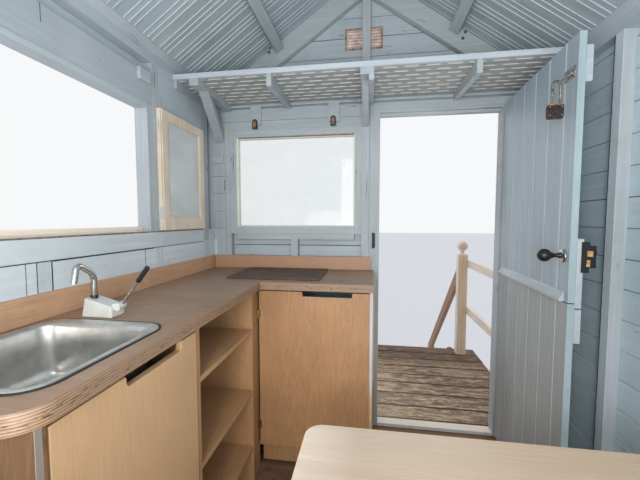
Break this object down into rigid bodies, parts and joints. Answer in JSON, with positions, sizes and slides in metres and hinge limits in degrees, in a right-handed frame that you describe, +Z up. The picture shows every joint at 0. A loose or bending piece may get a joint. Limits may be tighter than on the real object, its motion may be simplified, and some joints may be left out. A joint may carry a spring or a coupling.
{
  "type": "beach hut",
  "caption": "Small timber beach hut on legs with a gabled ribbed roof, stable door, fitted kitchen run, slatted shelf, railed veranda and front steps.",
  "frame": {"origin": "middle of the hut's box at ground level, under the legs and steps", "axes": "+Z up, the door gable and the steps face -Y, the window side faces +X"},
  "size_m": [2.07, 5.2344, 3.7739],
  "materials": {
    "paint": "satin pale blue paint, worn",
    "white_paint": "matt off-white paint",
    "floor_timber": "weathered bare boards",
    "deck_timber": "weathered bare boards",
    "frame_timber": "bare sawn timber",
    "ply": "varnished plywood",
    "worktop_ply": "varnished plywood, worn",
    "table_ply": "pale plywood",
    "lid": "dark brown board",
    "bare_casement": "primed timber",
    "roof_metal": "painted ribbed sheet",
    "terracotta": "louvre",
    "iron": "black japanned",
    "steel": "brushed",
    "tap_white": "gloss",
    "tap_black": "gloss",
    "glass": "clear"
  },
  "bodies": {
    "hut": {"legs": "frame_timber", "floor_bearers": "frame_timber", "joists": "frame_timber", "floor": "floor_timber", "sole_plates": "paint", "side_studs": "paint", "end_studs": "paint", "rails": "paint", "gable_rafters": "paint", "side_walls": "paint", "wall_bands": "paint", "front_wall_piers": "paint", "front_gable": "paint", "back_wall": "paint", "roof_timbers": "paint", "roof_sheets": "roof_metal", "ridge_cap": "roof_metal", "barge_boards": "white_paint", "gable_vent": "terracotta", "door_jambs": "paint", "door_head": "paint", "threshold": "white_paint", "door_hooks": "iron", "window_frames": "paint", "window_glass": "glass", "casement_frames": "bare_casement", "shelf_slats": "paint", "shelf_bearers": "paint", "worktop": "worktop_ply", "upstand": "worktop_ply", "sink": "steel", "hob_lid": "lid", "tap": "tap_white", "kitchen_panels": "ply", "kitchen_shelves": "ply", "table_top": "table_ply", "table_legs": "table_ply", "deck_boards": "deck_timber", "deck_beams": "frame_timber", "balustrade_posts": "white_paint", "balustrade_rails": "white_paint", "step_strings": "deck_timber", "step_treads": "deck_timber"},
    "door": {"door_leaf_lower": "paint", "door_leaf_upper": "paint", "door_ledges": "paint", "door_ironwork": "iron"},
    "pump_lever": {"tap_lever": "tap_black"},
    "sink_cupboard": {"sink_cupboard_door": "ply"},
    "front_cupboard": {"front_cupboard_door": "ply"}
  },
  "joints": [
    {"name": "door_hinge", "type": "hinge", "parent": "hut", "child": "door", "pos_m": [-0.7405, 0.06725, 2.15], "axis": [0, 0, 1], "range_deg": [-87, 9]},
    {"name": "pump_pivot", "type": "hinge", "parent": "hut", "child": "pump_lever", "pos_m": [0.704, 1.05925, 2.108], "axis": [0, 1, 0], "range_deg": [-14, 22]},
    {"name": "sink_cupboard_hinge", "type": "hinge", "parent": "hut", "child": "sink_cupboard", "pos_m": [0.479, 1.48675, 1.65], "axis": [0, 0, 1], "range_deg": [-48, 0]},
    {"name": "front_cupboard_hinge", "type": "hinge", "parent": "hut", "child": "front_cupboard", "pos_m": [0.4915, 0.46425, 1.65], "axis": [0, 0, 1], "range_deg": [-75, 0]}
  ]
}
